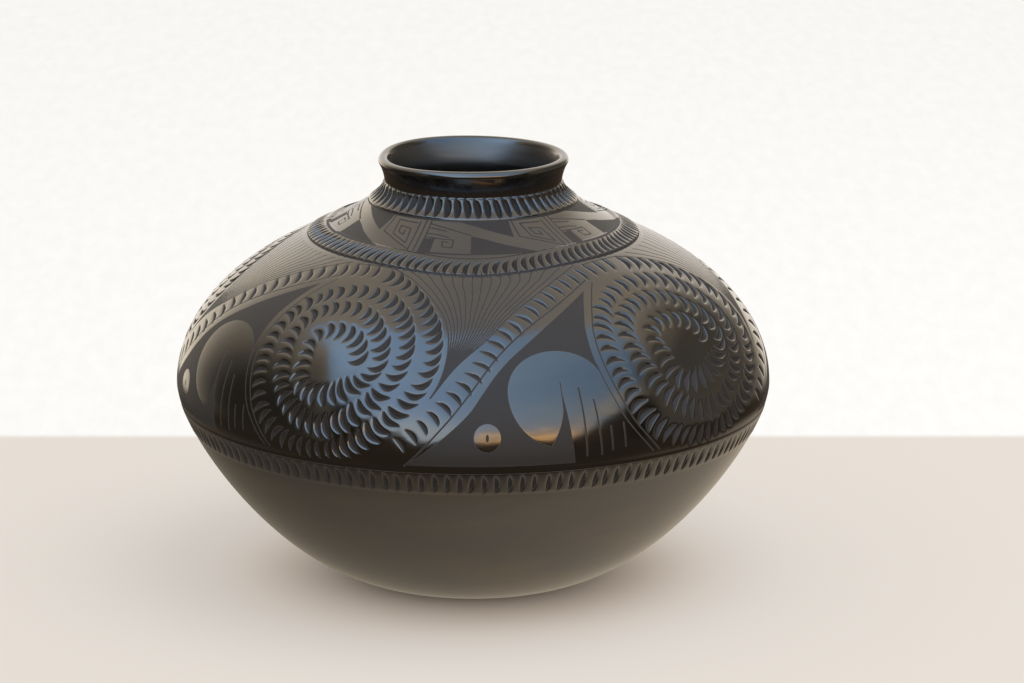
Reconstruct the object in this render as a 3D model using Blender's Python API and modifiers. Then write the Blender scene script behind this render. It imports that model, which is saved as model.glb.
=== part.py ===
"""Burnished black clay olla: a wide, low-bellied jar with a short flared neck.

The jar is coil built. A shallow base is pressed in a mould, and thick coils are set
on it one after another and pinched up: the lower wall, the belly, the shoulder, the
collar that closes the jar, and the neck with its lip. Each member is lapped over the
one below it and luted with slip, so each is its own solid here, with its own lapped
edges. The jar stands on +Z, with the middle of its flat foot at the origin.
"""
import math

import bmesh
import bpy
from mathutils import Matrix, Vector

MM = 0.001

# Half outline of the jar: the radius of each place it passes through, and how far
# that place lies above the one below it
FOOT_RADIUS = 55.0 * MM
BELLY_RADIUS = 150.0 * MM
BELLY_RISE = 100.4 * MM
SHOULDER_RADIUS = 96.0 * MM
SHOULDER_RISE = 69.4 * MM
WAIST_RADIUS = 44.6 * MM
WAIST_RISE = 32.7 * MM
LIP_OVERHANG = 3.0 * MM
LIP_RISE = 14.0 * MM

# How the outline leaves and reaches those places
FOOT_RISE = math.radians(12.0)
FOOT_LEAD = 50.5 * MM
BELLY_LEAD_BELOW = 20.5 * MM
BELLY_LEAD_ABOVE = 21.5 * MM
SHOULDER_SLOPE = math.radians(27.5)
SHOULDER_LEAD_BELOW = 45.0 * MM
SHOULDER_LEAD_ABOVE = 14.0 * MM
WAIST_LEAD_BELOW = 10.0 * MM
WAIST_LEAD_ABOVE = 2.4 * MM
LIP_FLARE = math.radians(60.0)
LIP_LEAD = 3.5 * MM

# Clay thickness
WALL = 5.0 * MM
FLOOR = 6.5 * MM

# Joints between the members, as distances up the outline from the foot's edge, or
# above or below a place that the outline passes through
BASE_SEAM = 58.0 * MM
LOWER_SEAM_BELOW_BELLY = 23.9 * MM
BELLY_SEAM_ABOVE_BELLY = 16.6 * MM
SHOULDER_SEAM_ABOVE_SHOULDER = 9.3 * MM
NECK_SEAM_BELOW_WAIST = 13.7 * MM
SEAM_LAP = 3.0 * MM
SEAM_GAP = 0.3 * MM

# Raised bands, each starting a little above a seam, and the notches cut in them
BORDER_START = 2.9 * MM
BORDER_HEIGHT = 11.5 * MM
BORDER_RISE = 0.25 * MM
BORDER_NOTCHES = 150
BORDER_NOTCH_DEPTH = 1.2 * MM
BORDER_NOTCH_WIDTH = 2.6 * MM
SHOULDER_BAND_START = 3.0 * MM
SHOULDER_BAND_HEIGHT = 12.0 * MM
SHOULDER_BAND_RISE = 1.0 * MM
SHOULDER_NOTCHES = 108
SHOULDER_NOTCH_DEPTH = 1.3 * MM
SHOULDER_NOTCH_WIDTH = 2.0 * MM
NECK_BAND_START = 1.8 * MM
NECK_BAND_HEIGHT = 11.2 * MM
NECK_BAND_RISE = 0.9 * MM
NECK_NOTCHES = 60
NECK_NOTCH_DEPTH = 2.0 * MM
NECK_NOTCH_WIDTH = 3.5 * MM
BAND_EDGE = 0.9 * MM
NOTCH_MARGIN = 0.9 * MM
NOTCH_SLANT = math.radians(7.0)

# Fineness of the turned surfaces
TURN_STEPS = 72
ARC_SAMPLES = 200
WALL_STATION = 9.5 * MM
NECK_STATION = 5.5 * MM
INNER_STATION = 16.0 * MM
LIP_ARC_STEPS = 6

CLAY_COLOUR = (0.020, 0.018, 0.017, 1.0)
CLAY_ROUGHNESS = 0.16
CARVED_ROUGHNESS = 0.30


def clear_scene():
    """Removes every object that the file holds."""
    for obj in list(bpy.data.objects):
        bpy.data.objects.remove(obj, do_unlink=True)


def make_collection(name):
    """Adds a collection to the scene and returns it."""
    collection = bpy.data.collections.new(name)
    bpy.context.scene.collection.children.link(collection)
    return collection


def clay(name, roughness):
    """Makes a fired clay material with the given polish."""
    material = bpy.data.materials.new(name)
    material.use_nodes = True
    shader = material.node_tree.nodes["Principled BSDF"]
    shader.inputs["Base Color"].default_value = CLAY_COLOUR
    shader.inputs["Roughness"].default_value = roughness
    shader.inputs["Metallic"].default_value = 0.0
    material.diffuse_color = CLAY_COLOUR
    return material


def heading(angle):
    """Unit step in the outline's plane, at an angle above the outward radius."""
    return Vector((math.cos(angle), math.sin(angle)))


def cubic_arc(start, start_lead, end_lead, end):
    """Points of a cubic arc between two places, each with its lead vector."""
    first = start + start_lead
    last = end - end_lead
    points = []
    for step in range(ARC_SAMPLES + 1):
        t = step / ARC_SAMPLES
        u = 1.0 - t
        points.append(u**3 * start + 3 * u * u * t * first + 3 * u * t * t * last + t**3 * end)
    return points


def outline_arcs():
    """Arcs of the half outline: foot to belly, to shoulder, to waist, to the lip's rounding."""
    up = heading(math.pi / 2)
    foot = Vector((FOOT_RADIUS, 0.0))
    belly = Vector((BELLY_RADIUS, BELLY_RISE))
    shoulder = Vector((SHOULDER_RADIUS, belly.y + SHOULDER_RISE))
    waist = Vector((WAIST_RADIUS, shoulder.y + WAIST_RISE))
    bead_rise = WALL / 2 * (1.0 + math.cos(LIP_FLARE))
    lip = Vector((WAIST_RADIUS + LIP_OVERHANG, waist.y + LIP_RISE - bead_rise))
    closing = heading(math.pi - SHOULDER_SLOPE)
    flare = heading(LIP_FLARE)
    return [
        cubic_arc(foot, heading(FOOT_RISE) * FOOT_LEAD, up * BELLY_LEAD_BELOW, belly),
        cubic_arc(belly, up * BELLY_LEAD_ABOVE, closing * SHOULDER_LEAD_BELOW, shoulder),
        cubic_arc(shoulder, closing * SHOULDER_LEAD_ABOVE, up * WAIST_LEAD_BELOW, waist),
        cubic_arc(waist, up * WAIST_LEAD_ABOVE, flare * LIP_LEAD, lip),
    ]


class Wall:
    """The jar's wall: places on it are given by their distance up the outline."""

    def __init__(self, arcs):
        self.points = [arcs[0][0]]
        self.distances = [0.0]
        marks = []
        for arc in arcs:
            for point in arc[1:]:
                self.distances.append(self.distances[-1] + (point - self.points[-1]).length)
                self.points.append(point)
            marks.append(self.distances[-1])
        self.belly, self.shoulder, self.waist, self.length = marks
        self.base_seam = BASE_SEAM
        self.lower_seam = self.belly - LOWER_SEAM_BELOW_BELLY
        self.belly_seam = self.belly + BELLY_SEAM_ABOVE_BELLY
        self.shoulder_seam = self.shoulder + SHOULDER_SEAM_ABOVE_SHOULDER
        self.neck_seam = self.waist - NECK_SEAM_BELOW_WAIST

    def outer(self, distance):
        """Place on the outer surface and the outward unit normal there."""
        index = 1
        while self.distances[index] < distance and index < len(self.points) - 1:
            index += 1
        low, high = self.points[index - 1], self.points[index]
        share = (distance - self.distances[index - 1]) / (high - low).length
        along = (high - low).normalized()
        return low + (high - low) * share, Vector((along.y, -along.x))

    def at(self, distance, depth):
        """Place at a depth below the outer surface."""
        place, normal = self.outer(distance)
        return place - normal * depth

    def distance_inside(self, height):
        """Distance up the outline where the inner side first reaches a height."""
        for distance in self.distances:
            if self.at(distance, WALL).y >= height:
                return distance
        return self.length


def stations(start, end, spacing):
    """Evenly spread distances from start to end, both included."""
    count = max(1, round((end - start) / spacing))
    return [start + (end - start) * step / count for step in range(count + 1)]


def stations_through(place, start, end, spacing):
    """Stations from start to end, one of them at the given place if it lies between."""
    if not start < place < end:
        return stations(start, end, spacing)
    return stations(start, place, spacing) + stations(place, end, spacing)[1:]


def outer_side(wall, start, end, spacing, band=None):
    """Points of the outer side from start to end, standing proud over a raised band."""
    if band is None:
        return [wall.at(place, 0.0) for place in stations(start, end, spacing)]
    low, high, rise = band
    points = [wall.at(place, 0.0) for place in stations(start, low - BAND_EDGE, spacing)]
    points += [wall.at(place, -rise) for place in stations(low, high, spacing)]
    upper = stations_through(wall.belly, high + BAND_EDGE, end, spacing)
    points += [wall.at(place, 0.0) for place in upper]
    return points


def inner_side(wall, start, end):
    """Points of the inner side from start to end."""
    return [wall.at(place, WALL) for place in stations(start, end, INNER_STATION)]


def band_above(seam, start, height, rise):
    """Bottom, top and rise of a raised band that starts a little above a seam."""
    return seam + start, seam + start + height, rise


def above_seam(seam):
    """Where the member above a seam starts, clear of the lapped edge below it."""
    return seam + SEAM_GAP * math.hypot(WALL, SEAM_LAP) / WALL


def turned(name, points, collection, material):
    """Turns a half outline about the upright axis into a smooth solid.

    The points run down the outer side from top to bottom, then up the inner side.
    """
    mesh = bpy.data.meshes.new(name)
    edges = [(index, (index + 1) % len(points)) for index in range(len(points))]
    mesh.from_pydata([(point.x, 0.0, point.y) for point in points], edges, [])
    solid = bpy.data.objects.new(name, mesh)
    collection.objects.link(solid)
    solid.data.materials.append(material)
    screw = solid.modifiers.new("turn", "SCREW")
    screw.axis = "Z"
    screw.angle = math.tau
    screw.steps = TURN_STEPS
    screw.render_steps = TURN_STEPS
    screw.use_merge_vertices = True
    screw.merge_threshold = 0.00001
    screw.use_smooth_shade = True
    return solid


def notch_tool(name, wall, band, count, depth, width, collection):
    """Row of slim leaf-shaped cutters set round a raised band."""
    low, high, rise = band
    place, normal = wall.outer((low + high) / 2)
    reach = (high - low) / 2 - NOTCH_MARGIN
    upright = Vector((-normal.y, 0.0, normal.x))
    outward = Vector((normal.x, 0.0, normal.y))
    across = outward.cross(upright)
    frame = Matrix((across, outward, upright)).transposed().to_4x4()
    size = Matrix.Diagonal((width / 2, depth, reach, 1.0))
    slant = Matrix.Rotation(NOTCH_SLANT, 4, "Y")
    centre = place + normal * rise
    move = Matrix.Translation((centre.x, 0.0, centre.y))
    cutter = bmesh.new()
    for index in range(count):
        turn = Matrix.Rotation(math.tau * (index + 0.37) / count, 4, "Z")
        bmesh.ops.create_uvsphere(cutter, u_segments=4, v_segments=2, radius=1.0,
                                  matrix=turn @ move @ frame @ slant @ size)
    mesh = bpy.data.meshes.new(name)
    cutter.to_mesh(mesh)
    cutter.free()
    tool = bpy.data.objects.new(name, mesh)
    collection.objects.link(tool)
    tool.hide_render = True
    tool.display_type = "WIRE"
    return tool


def cut(solid, tool):
    """Cuts a tool out of a solid."""
    boolean = solid.modifiers.new("notches", "BOOLEAN")
    boolean.operation = "DIFFERENCE"
    boolean.solver = "EXACT"
    boolean.object = tool


def base_bowl(wall, collection, material):
    """Mould-pressed base with its flat foot."""
    floor_edge = wall.distance_inside(FLOOR)
    inner = inner_side(wall, floor_edge, wall.base_seam + SEAM_LAP)
    points = list(reversed(outer_side(wall, 0.0, wall.base_seam, WALL_STATION)))
    points += [Vector((0.0, 0.0)), Vector((0.0, inner[0].y))] + inner
    return turned("base_bowl", points, collection, material)


def coil(name, wall, seams, spacing, band, collection, material):
    """Coil pinched up between two lapped seams, with a raised band round it if given."""
    start, end = above_seam(seams[0]), seams[1]
    outer = outer_side(wall, start, end, spacing, band)
    inner = inner_side(wall, start + SEAM_LAP, end + SEAM_LAP)
    return turned(name, list(reversed(outer)) + inner, collection, material)


def neck_and_lip(wall, band, collection, material):
    """Last coil: the notched band round the neck, the flare and the rounded lip."""
    start = above_seam(wall.neck_seam)
    outer = outer_side(wall, start, wall.length, NECK_STATION, band)
    inner = [wall.at(place, WALL) for place in stations(start + SEAM_LAP, wall.length, NECK_STATION)]
    centre = (outer[-1] + inner[-1]) / 2
    spoke = outer[-1] - centre
    opening = Matrix.Rotation(math.pi / LIP_ARC_STEPS, 2)
    lip = []
    for _ in range(LIP_ARC_STEPS - 1):
        spoke = opening @ spoke
        lip.append(centre + spoke)
    points = list(reversed(outer)) + inner + list(reversed(lip))
    return turned("neck_and_lip", points, collection, material)


def main():
    """Builds the olla's members and cuts their rows of notches."""
    clear_scene()
    olla = make_collection("pottery_olla")
    tools = make_collection("notch_tools")
    burnished = clay("burnished_clay", CLAY_ROUGHNESS)
    carved = clay("carved_clay", CARVED_ROUGHNESS)
    wall = Wall(outline_arcs())
    border = band_above(wall.lower_seam, BORDER_START, BORDER_HEIGHT, BORDER_RISE)
    shoulder_band = band_above(wall.shoulder_seam, SHOULDER_BAND_START,
                               SHOULDER_BAND_HEIGHT, SHOULDER_BAND_RISE)
    neck_band = band_above(wall.neck_seam, NECK_BAND_START, NECK_BAND_HEIGHT, NECK_BAND_RISE)
    base_bowl(wall, olla, burnished)
    coil("lower_wall", wall, (wall.base_seam, wall.lower_seam), WALL_STATION, None,
         olla, burnished)
    belly = coil("belly_wall", wall, (wall.lower_seam, wall.belly_seam), WALL_STATION,
                 border, olla, carved)
    coil("shoulder_wall", wall, (wall.belly_seam, wall.shoulder_seam), WALL_STATION, None,
         olla, carved)
    collar = coil("shoulder_collar", wall, (wall.shoulder_seam, wall.neck_seam), NECK_STATION,
                  shoulder_band, olla, carved)
    neck = neck_and_lip(wall, neck_band, olla, burnished)
    cut(belly, notch_tool("border_notches", wall, border, BORDER_NOTCHES,
                          BORDER_NOTCH_DEPTH, BORDER_NOTCH_WIDTH, tools))
    cut(collar, notch_tool("shoulder_notches", wall, shoulder_band, SHOULDER_NOTCHES,
                           SHOULDER_NOTCH_DEPTH, SHOULDER_NOTCH_WIDTH, tools))
    cut(neck, notch_tool("neck_notches", wall, neck_band, NECK_NOTCHES,
                         NECK_NOTCH_DEPTH, NECK_NOTCH_WIDTH, tools))


main()
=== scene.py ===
"""Looks of the burnished black clay olla: its carved wall, its polish and the studio.

The jar's wall is a surface of two parameters: the turn round the jar, in degrees, with
0 facing the camera and growing to the right, and the distance up the half outline, in
millimetres from the foot's edge. Carving lifts or lowers that surface along its normal.
"""
from __future__ import annotations

import logging
import math
from collections.abc import Iterator, Sequence
from dataclasses import dataclass, field
from enum import Enum

import bpy
import numpy as np
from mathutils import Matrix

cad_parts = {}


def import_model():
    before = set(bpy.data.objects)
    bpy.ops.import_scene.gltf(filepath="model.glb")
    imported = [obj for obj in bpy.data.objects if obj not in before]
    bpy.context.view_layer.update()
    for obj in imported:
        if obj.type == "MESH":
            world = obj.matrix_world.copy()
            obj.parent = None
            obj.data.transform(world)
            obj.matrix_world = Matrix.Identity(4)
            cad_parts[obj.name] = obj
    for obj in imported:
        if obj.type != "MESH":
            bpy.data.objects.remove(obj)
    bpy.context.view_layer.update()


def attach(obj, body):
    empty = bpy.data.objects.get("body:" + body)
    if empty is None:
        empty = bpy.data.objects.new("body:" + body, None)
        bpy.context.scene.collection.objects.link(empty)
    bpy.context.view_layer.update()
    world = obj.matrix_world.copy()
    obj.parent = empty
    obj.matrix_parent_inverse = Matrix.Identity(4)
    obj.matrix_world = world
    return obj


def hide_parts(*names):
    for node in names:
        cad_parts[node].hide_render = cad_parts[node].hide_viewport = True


LOG = logging.getLogger("olla")
MM = 0.001
FULL_TURN = 360.0
HALF_TURN = 180.0
# Matte distances that stand for clay that nothing cut, and for a carved member's inside
UNTOUCHED = -9.0
INSIDE = -30.0
INSIDE_FADE = (-24.0, -12.0)

# Places on the wall, as (turn, distance). They were read off the photograph and then
# moved by a program to the corrected outline.
Places = tuple[tuple[float, float], ...]
Colour = tuple[float, float, float, float]


class Slot(Enum):
    """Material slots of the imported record."""

    BURNISHED = "burnished_clay"
    CARVED = "carved_clay"


def smooth_rise(value: np.ndarray, low: float, high: float) -> np.ndarray:
    """Rises from 0 at low to 1 at high along 3t^2 - 2t^3, with t the share between them."""
    share = np.clip((value - low) / (high - low), 0.0, 1.0)
    return share * share * (3.0 - 2.0 * share)


def curve_through(places: Sequence[tuple[float, float]], per_span: int = 8) -> np.ndarray:
    """Smooth curve through places, each span of it a Catmull-Rom cubic.

    It leaves a place along the line that joins the places on either side of it.

    Args:
        places: the places it passes through.
        per_span: points made for each span.

    Returns:
        The curve's points, one row each.
    """
    held = np.array(places, dtype=float)
    held = np.vstack([2 * held[0] - held[1], held, 2 * held[-1] - held[-2]])
    share = np.linspace(0.0, 1.0, per_span, endpoint=False)[None, :, None]
    before, start, end, after = (held[i:len(held) - 3 + i, None, :] for i in range(4))
    bend = 2 * before - 5 * start + 4 * end - after
    twist = 3 * start - before - 3 * end + after
    spans = start + 0.5 * share * ((end - before) + share * (bend + share * twist))
    return np.vstack([spans.reshape(-1, 2), held[-2]])


def edge_distance(x: np.ndarray, y: np.ndarray, start: np.ndarray, end: np.ndarray) -> np.ndarray:
    """Distance of each point to the straight edge between two places."""
    along = end - start
    share = ((x - start[0]) * along[0] + (y - start[1]) * along[1]) / (along @ along)
    share = np.clip(share, 0.0, 1.0)
    return np.hypot(x - start[0] - share * along[0], y - start[1] - share * along[1])


def inside_polygon(x: np.ndarray, y: np.ndarray, corners: np.ndarray) -> np.ndarray:
    """Distance to a polygon's nearest edge, positive inside it and negative outside."""
    nearest = np.full(x.shape, np.inf)
    within = np.zeros(x.shape, dtype=bool)
    for start, end in zip(corners, np.roll(corners, -1, axis=0)):
        nearest = np.minimum(nearest, edge_distance(x, y, start, end))
        rise = end[1] - start[1]
        if rise:
            crossing = start[0] + (y - start[1]) * (end[0] - start[0]) / rise
            within ^= ((start[1] > y) != (end[1] > y)) & (x < crossing)
    return np.where(within, nearest, -nearest)


def off_line(turn: np.ndarray, line_turn: np.ndarray, distance: np.ndarray,
             scale: np.ndarray) -> np.ndarray:
    """Millimetres from places to a line up the wall, square to it, positive to its right.

    Args:
        turn: the places' turns, by rows and columns.
        line_turn: turn of the line in each row.
        distance: the rows' distances up the wall.
        scale: millimetres for each degree of turn in each row.

    Returns:
        The distances, with their signs.
    """
    tilt = np.gradient(line_turn, distance, axis=0) * scale
    return (turn - line_turn) * scale / np.hypot(1.0, tilt)


def blurred(grid: np.ndarray, passes: int) -> np.ndarray:
    """Spreads a grid by repeated 1-2-1 averages, round the jar and up the wall."""
    for _ in range(passes):
        grid = (np.roll(grid, 1, axis=1) + 2 * grid + np.roll(grid, -1, axis=1)) / 4
        padded = np.pad(grid, ((1, 1), (0, 0)), mode="edge")
        grid = (padded[:-2] + 2 * padded[1:-1] + padded[2:]) / 4
    return grid


@dataclass(frozen=True)
class Outline:
    """Half outline of the jar, in millimetres and degrees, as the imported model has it."""

    foot_radius: float = 55.0
    belly_radius: float = 150.0
    belly_rise: float = 100.4
    shoulder_radius: float = 96.0
    shoulder_rise: float = 69.4
    waist_radius: float = 44.6
    waist_rise: float = 32.7
    lip_overhang: float = 3.0
    lip_rise: float = 14.0
    foot_slope: float = 12.0
    foot_lead: float = 50.5
    belly_lead_below: float = 20.5
    belly_lead_above: float = 21.5
    shoulder_slope: float = 27.5
    shoulder_lead_below: float = 45.0
    shoulder_lead_above: float = 14.0
    waist_lead_below: float = 10.0
    waist_lead_above: float = 2.4
    lip_flare: float = 60.0
    lip_lead: float = 3.5
    thickness: float = 5.0
    floor: float = 6.5
    steps: int = 400

    def arc(self, start: tuple, lead: tuple, end_lead: tuple, end: tuple) -> np.ndarray:
        """Cubic arc between two places, leaving and arriving along (length, angle) leads."""
        share = np.linspace(0.0, 1.0, self.steps + 1)[:, None]
        rest = 1.0 - share
        headings = [np.array([math.cos(angle), math.sin(angle)]) * length
                    for length, angle in ((lead[0], math.radians(lead[1])),
                                          (end_lead[0], math.radians(end_lead[1])))]
        first = np.array(start) + headings[0]
        last = np.array(end) - headings[1]
        return (rest**3 * np.array(start) + 3 * rest**2 * share * first
                + 3 * rest * share**2 * last + share**3 * np.array(end))

    def arcs(self) -> list[np.ndarray]:
        """Arcs from the foot to the belly, the shoulder, the waist and the lip."""
        belly = (self.belly_radius, self.belly_rise)
        shoulder = (self.shoulder_radius, belly[1] + self.shoulder_rise)
        waist = (self.waist_radius, shoulder[1] + self.waist_rise)
        bead = self.thickness / 2 * (1.0 + math.cos(math.radians(self.lip_flare)))
        lip = (self.waist_radius + self.lip_overhang, waist[1] + self.lip_rise - bead)
        closing = HALF_TURN - self.shoulder_slope
        return [
            self.arc((self.foot_radius, 0.0), (self.foot_lead, self.foot_slope),
                     (self.belly_lead_below, 90.0), belly),
            self.arc(belly, (self.belly_lead_above, 90.0), (self.shoulder_lead_below, closing),
                     shoulder),
            self.arc(shoulder, (self.shoulder_lead_above, closing), (self.waist_lead_below, 90.0),
                     waist),
            self.arc(waist, (self.waist_lead_above, 90.0), (self.lip_lead, self.lip_flare), lip),
        ]


class Wall:
    """The jar's wall, sampled along its outline, and the seams between its members."""

    def __init__(self, outline: Outline) -> None:
        """Joins the outline's arcs and measures the distance along them."""
        arcs = outline.arcs()
        self.outline = outline
        self.points = np.vstack([arcs[0]] + [arc[1:] for arc in arcs[1:]])
        steps = np.hypot(*np.diff(self.points, axis=0).T)
        self.distance = np.concatenate([[0.0], np.cumsum(steps)])
        ends = np.cumsum([len(arc) - 1 for arc in arcs])
        self.belly, self.shoulder, self.waist, self.top = self.distance[ends]
        tangent = np.gradient(self.points, self.distance, axis=0)
        tangent /= np.hypot(*tangent.T)[:, None]
        self.normals = np.stack([tangent[:, 1], -tangent[:, 0]], axis=1)
        self.base_seam = 58.0
        self.lower_seam = self.belly - 23.9
        self.belly_seam = self.belly + 16.6
        self.shoulder_seam = self.shoulder + 9.3
        self.neck_seam = self.waist - 13.7

    def at(self, distance: np.ndarray, depth: np.ndarray | float = 0.0) -> tuple:
        """Places in the wall.

        A place is the outline's point at that distance, moved inwards along the normal.

        Args:
            distance: distances up the outline.
            depth: depths below the plain outer surface.

        Returns:
            The radius and the height of each place.
        """
        radius, height, out, up = (np.interp(distance, self.distance, column)
                                   for column in (*self.points.T, *self.normals.T))
        return radius - out * depth, height - up * depth

    def facing(self, distance: np.ndarray) -> np.ndarray:
        """Outward normals of the plain wall at distances up it, as (out, up) rows."""
        return np.stack([np.interp(distance, self.distance, column)
                         for column in self.normals.T], axis=1)

    def scale(self, distance: np.ndarray) -> np.ndarray:
        """Millimetres round the jar for each degree of turn, at distances up the wall."""
        return np.radians(self.at(distance)[0])

    def inner_floor(self) -> float:
        """Distance at which the inner side meets the top of the floor."""
        _, height = self.at(self.distance, self.outline.thickness)
        return float(self.distance[np.argmax(height >= self.outline.floor)])


@dataclass(frozen=True)
class Laying:
    """How a repeat is laid round the jar by eye, a little tighter in front.

    A place's laid angle is its turn plus drift times the sine of its turn and the lead,
    and the repeats are equal in laid angle.
    """

    repeats: int
    drift: float
    lead: float = 0.0

    def laid(self, turns: np.ndarray) -> np.ndarray:
        """Laid angle of each turn."""
        return turns + self.drift * np.sin(np.radians(turns + self.lead))

    def front_turns(self, turns: np.ndarray, index: int) -> np.ndarray:
        """Turn that each place would have if a given repeat were the one in front."""
        table = np.linspace(-HALF_TURN, HALF_TURN, 1441)
        laid_table = self.laid(table)
        shifted = self.laid(turns) - FULL_TURN * index / self.repeats
        shifted = (shifted - laid_table[0]) % FULL_TURN + laid_table[0]
        return np.interp(shifted, laid_table, table)

    def fronts(self, turns: np.ndarray) -> Iterator[np.ndarray]:
        """Goes through the repeats, giving the places' turns with each one in front."""
        for index in range(self.repeats):
            yield self.front_turns(turns, index)

    def next_turn(self, turn: float) -> float:
        """Turn of the same place in the repeat to the right."""
        return float(self.front_turns(np.array([turn]), -1)[0])


@dataclass(frozen=True)
class Notch:
    """One leaf-shaped cut of a gouge: shallow at one edge and steep at the other.

    Across the cut, both edges follow a parabola between its two tips, fuller at one end
    by its lopsidedness. The floor falls evenly from the shallow edge and ends in a steep
    wall at the deep edge.
    """

    length: float
    width: float
    bulge: float
    depth: float
    lopsided: float = 0.0
    steep: float = 0.7

    def blend(self, other: Notch, share: float) -> Notch:
        """Notch between this one and another, all its sizes mixed by the share."""
        sizes = {name: (1 - share) * value + share * getattr(other, name)
                 for name, value in vars(self).items()}
        return Notch(**sizes)


class Relief:
    """Carving of a stretch of the wall, on a grid of distances (rows) by turns (columns)."""

    MARGIN = 24
    ROUNDING_PASSES = 12
    ROUNDING = 0.46
    CENTRING = 0.7
    FALL_SHARE = 0.8
    THINNEST = 0.01
    MATTE_RIM = 0.02
    GROUND_DEPTH = 0.05

    def __init__(self, wall: Wall, rows: np.ndarray, columns: int) -> None:
        """Starts plain: nothing proud, nothing cut and all of it polished."""
        below = rows[0] - (rows[1] - rows[0]) * np.arange(self.MARGIN, 0, -1)
        above = rows[-1] + (rows[-1] - rows[-2]) * np.arange(1, self.MARGIN + 1)
        self.wall = wall
        self.rows = np.concatenate([below, rows, above])
        self.turns = np.arange(columns) * FULL_TURN / columns - HALF_TURN
        self.scale = wall.scale(self.rows)
        shape = (len(self.rows), columns)
        self.proud = np.zeros(shape)
        self.cut = np.zeros(shape)
        self.matte = np.full(shape, UNTOUCHED)

    def patch(self, turns: np.ndarray, centre: tuple, reach: float) -> tuple | None:
        """Part of the grid round a place, with millimetres across and up from it.

        Args:
            turns: the columns' turns in the repeat being carved.
            centre: turn and distance of the place.
            reach: half the patch's width and height, in millimetres.

        Returns:
            The grid index, the way across and the way up, or None off the grid.
        """
        rows = np.flatnonzero(np.abs(self.rows - centre[1]) < reach)
        if not rows.size:
            return None
        columns = np.flatnonzero(np.abs(turns - centre[0]) * self.scale[rows].min() < reach)
        if not columns.size:
            return None
        x = (turns[columns] - centre[0])[None, :] * self.scale[rows][:, None]
        y = np.broadcast_to((self.rows[rows] - centre[1])[:, None], x.shape)
        return np.ix_(rows, columns), x, y

    def carve(self, turns: np.ndarray, centre: tuple, facing: float, notch: Notch) -> None:
        """Cuts one notch whose deep edge faces an angle above the way to the right."""
        found = self.patch(turns, centre, notch.length / 2 + abs(notch.bulge) + 1.0)
        if found is None:
            return
        index, x, y = found
        angle = math.radians(facing)
        shift = (notch.bulge - notch.width / 2) * self.CENTRING
        out = x * math.cos(angle) + y * math.sin(angle) + shift
        along = (y * math.cos(angle) - x * math.sin(angle)) * 2 / notch.length
        leaf = (1.0 - along**2) * (1.0 + notch.lopsided * np.clip(along, -1.0, 1.0))
        deep_edge = notch.bulge * leaf
        shallow_edge = (notch.bulge - notch.width) * leaf
        span = np.maximum(notch.width * leaf, self.THINNEST)
        fall = np.clip((out - shallow_edge) / (self.FALL_SHARE * span), 0.0, 1.0)
        wall = np.clip((deep_edge - out) / notch.steep, 0.0, 1.0)
        tips = np.sqrt(np.clip(1.0 - along**2, 0.0, 1.0))
        depth = notch.depth * np.minimum(fall, wall) * tips
        self.cut[index] = np.minimum(self.cut[index], -depth)
        inside = np.minimum(out - shallow_edge, deep_edge - out)
        self.matte[index] = np.maximum(self.matte[index], inside + self.MATTE_RIM)

    def line(self, turns: np.ndarray, path: np.ndarray, half_width: float) -> None:
        """Incises a matte line along a path of (turn, distance) points."""
        for start, end in zip(path, path[1:]):
            middle = (start + end) / 2
            scale = np.interp([start[1], end[1]], self.rows, self.scale)
            first, last = start - middle, end - middle
            first[0] *= scale[0]
            last[0] *= scale[1]
            if not np.any(last - first):
                continue
            reach = np.hypot(*(last - first)) / 2 + half_width + 1.0
            found = self.patch(turns, tuple(middle), reach)
            if found is not None:
                index, x, y = found
                self.ground(index, half_width - edge_distance(x, y, first, last))

    def ground(self, index: tuple, inside: np.ndarray, depth: float = GROUND_DEPTH) -> None:
        """Scrapes a matte ground where the inside distance is positive."""
        self.matte[index] = np.maximum(self.matte[index], inside)
        scraped = -depth * smooth_rise(inside, -0.2, 0.3)
        self.cut[index] = np.minimum(self.cut[index], scraped)

    def height(self) -> np.ndarray:
        """Height of the carved surface over the plain one, with softly rounded rims."""
        spread = blurred(self.cut, self.ROUNDING_PASSES)
        carved = (1.0 - self.ROUNDING) * blurred(self.cut, 1) + self.ROUNDING * spread
        return self.proud + carved

    def surface(self) -> tuple[np.ndarray, np.ndarray]:
        """Places of the carved surface and its normals.

        The normal is the cross product of the steps to the right and up the wall.
        """
        radius, height = self.wall.at(self.rows[:, None], -self.height())
        angle = np.radians(self.turns)
        places = np.stack([radius * np.sin(angle), -radius * np.cos(angle), height], axis=-1)
        right = np.roll(places, -1, axis=1) - np.roll(places, 1, axis=1)
        up = np.gradient(places, axis=0)
        normals = np.cross(right, up)
        inner = slice(self.MARGIN, len(self.rows) - self.MARGIN)
        normals = normals[inner]
        normals /= np.linalg.norm(normals, axis=-1, keepdims=True)
        return places[inner], normals

    def matte_rows(self) -> np.ndarray:
        """Matte distances without the margins."""
        return self.matte[self.MARGIN:len(self.rows) - self.MARGIN]


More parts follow.
